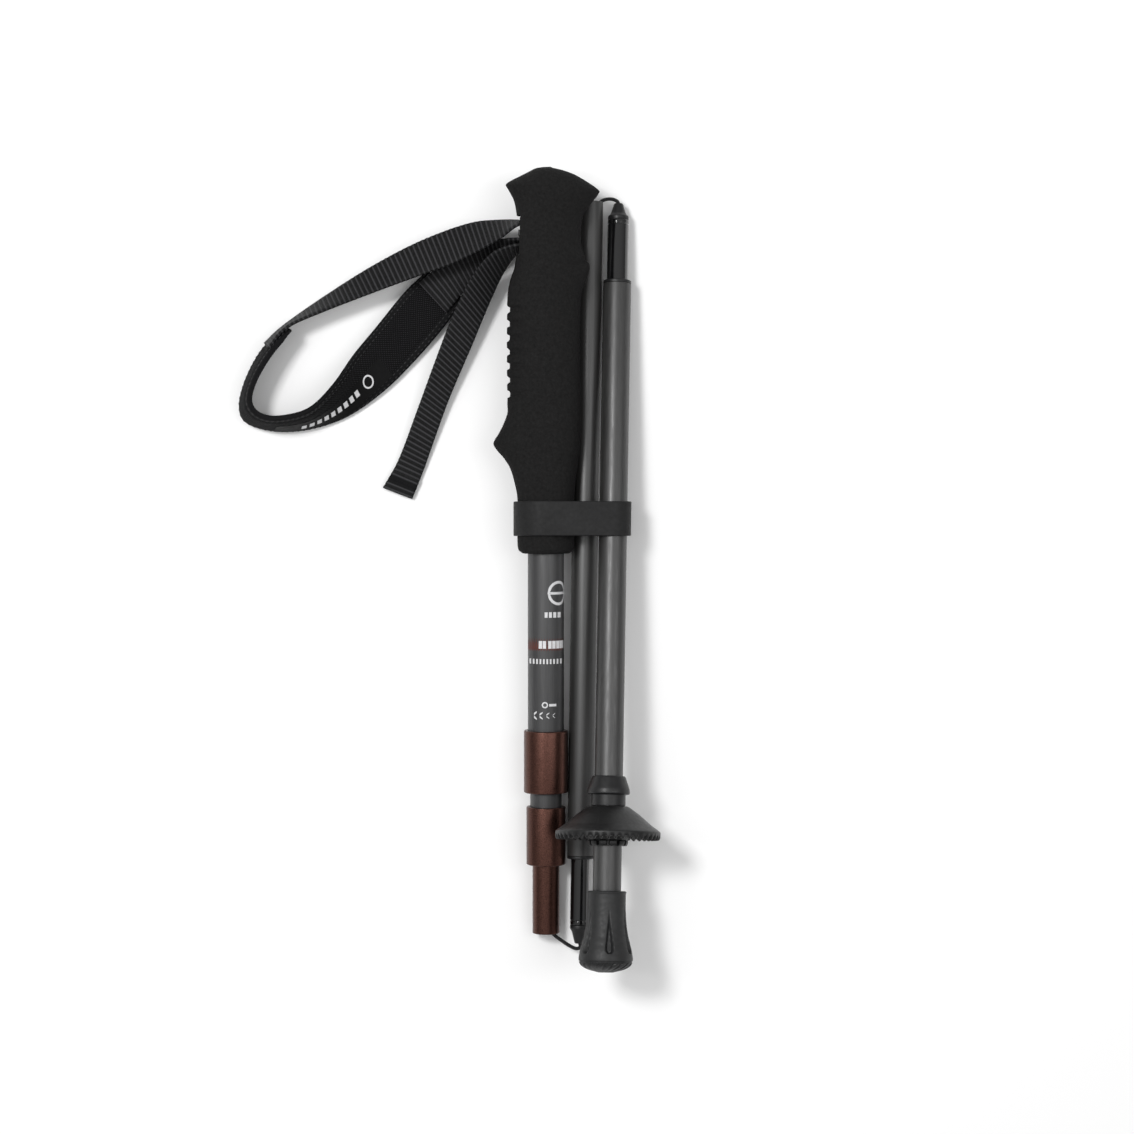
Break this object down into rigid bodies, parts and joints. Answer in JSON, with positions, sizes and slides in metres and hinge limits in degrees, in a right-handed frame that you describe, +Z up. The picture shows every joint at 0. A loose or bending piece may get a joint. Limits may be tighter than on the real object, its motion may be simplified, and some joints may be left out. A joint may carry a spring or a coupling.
{
  "type": "folding trekking pole",
  "caption": "Folded trekking pole: foam grip with wrist strap, telescoping twist-lock upper section, two folding sections on a tension cord, basket and rubber tip.",
  "frame": {"origin": "centre of the folded pole's bounding box in X and Y, on the surface that it lies on", "axes": "+Y along the folded pole towards the grip, +X across it towards the basket side, +Z up from the surface"},
  "size_m": [0.1886, 0.3536, 0.0588],
  "materials": {
    "eva_foam": "matte fine-grained EVA foam",
    "carbon": "satin dark grey carbon-fibre tube",
    "bronze_anodised": "satin bronze-brown anodised aluminium",
    "gloss_black": "gloss black anodised",
    "black_plastic": "matte black moulded plastic",
    "basket_plastic": "satin dark grey moulded plastic",
    "nylon": "natural nylon",
    "strap_rubber": "matte dark grey silicone rubber",
    "tip_rubber": "matte moulded rubber",
    "webbing": "black ribbed polyester webbing",
    "pad_fabric": "black spacer mesh with bound edges",
    "cord": "black braided cord",
    "steel": "bright steel",
    "carbide": "sintered carbide"
  },
  "bodies": {
    "handle": {"grip_foam": "eva_foam", "grip_core": "black_plastic", "strap_pin": "steel", "strap_wedge": "black_plastic", "upper_tube": "carbon", "upper_collet": "nylon", "storage_strap": "strap_rubber"},
    "upper_collar": {"lock_collar_upper": "bronze_anodised"},
    "inner": {"inner_tube": "carbon", "inner_guide_bush": "nylon", "lower_collet": "nylon"},
    "lower_collar": {"lock_collar_lower": "bronze_anodised"},
    "tension": {"tension_tube": "bronze_anodised", "tension_guide_bush": "nylon", "tension_mouth_bush": "nylon", "tension_spring": "steel", "cord_stop": "steel", "cord_upper_run": "cord", "cord_loop_lower": "cord"},
    "middle_cord": {"cord_middle_run": "cord"},
    "middle": {"middle_tube": "carbon", "middle_shoulder_ring": "black_plastic", "middle_insert": "gloss_black", "middle_nose": "black_plastic"},
    "upper_loop": {"cord_loop_upper": "cord"},
    "lower": {"cord_lower_run": "cord", "cord_knot": "cord", "lower_nose": "black_plastic", "lower_insert": "gloss_black", "lower_shoulder_ring": "black_plastic", "lower_tube": "carbon", "basket_seat": "black_plastic", "tip_ferrule": "black_plastic", "carbide_tip": "carbide"},
    "basket": {"basket": "basket_plastic"},
    "tip": {"rubber_tip": "tip_rubber"},
    "wrist_strap": {"strap_upper_webbing": "webbing", "strap_pad": "pad_fabric", "strap_lower_webbing": "webbing", "strap_tail": "webbing"}
  },
  "joints": [
    {"name": "length_adjust", "type": "slide", "parent": "handle", "child": "inner", "axis": [0, -0.9987, -0.0515], "range_m": [0, 0.15], "deforming": ["storage_strap"]},
    {"name": "upper_lock_twist", "type": "hinge", "parent": "handle", "child": "upper_collar", "pos_m": [0.04393, -0.0853, 0.01105], "axis": [0, -0.9987, -0.0515], "range_deg": [0, 180]},
    {"name": "lower_lock_twist", "type": "hinge", "parent": "inner", "child": "lower_collar", "pos_m": [0.04393, -0.11926, 0.0093], "axis": [0, -0.9987, -0.0515], "range_deg": [0, 180]},
    {"name": "tension_slide", "type": "slide", "parent": "inner", "child": "tension", "axis": [0, -0.9987, -0.0515], "range_m": [0, 0.04]},
    {"name": "middle_unfold", "type": "hinge", "parent": "tension", "child": "middle_cord", "pos_m": [0.0513, -0.16897, 0.00738], "axis": [0.0934, 0.0249, -0.9953], "range_deg": [0, 179.44], "deforming": ["cord_loop_lower"]},
    {"name": "middle_plug_in", "type": "slide", "parent": "middle_cord", "child": "middle", "axis": [-0.0147, -0.9999, 0], "range_m": [0, 0.0455]},
    {"name": "lower_unfold", "type": "hinge", "parent": "upper_loop", "child": "lower", "pos_m": [0.07005, 0.16699, 0.00675], "axis": [0.2389, 0.0484, 0.9698], "range_deg": [0, 181.69], "deforming": ["cord_loop_upper"]},
    {"name": "lower_plug_in", "type": "slide", "parent": "middle", "child": "upper_loop", "axis": [-0.0147, -0.9999, 0], "range_m": [0, 0.0428]},
    {"name": "basket_spin", "type": "hinge", "parent": "lower", "child": "basket", "pos_m": [0.07121, -0.11269, 0.03527], "axis": [-0.0185, -0.994, 0.1078], "range_deg": [-180, 180]},
    {"name": "tip_pull", "type": "slide", "parent": "lower", "child": "tip", "axis": [-0.0185, -0.994, 0.1078], "range_m": [0, 0.035]},
    {"name": "strap_swing", "type": "hinge", "parent": "handle", "child": "wrist_strap", "pos_m": [0.04023, 0.15118, 0.02324], "axis": [0, 0, 1], "range_deg": [-45, 8], "deforming": ["strap_upper_webbing", "strap_lower_webbing", "strap_tail"]}
  ],
  "couplings": [
    {"joint": "lower_unfold", "follows": "middle_unfold", "ratio": 1.0126},
    {"joint": "lower_plug_in", "follows": "middle_plug_in", "ratio": 0.94066}
  ]
}
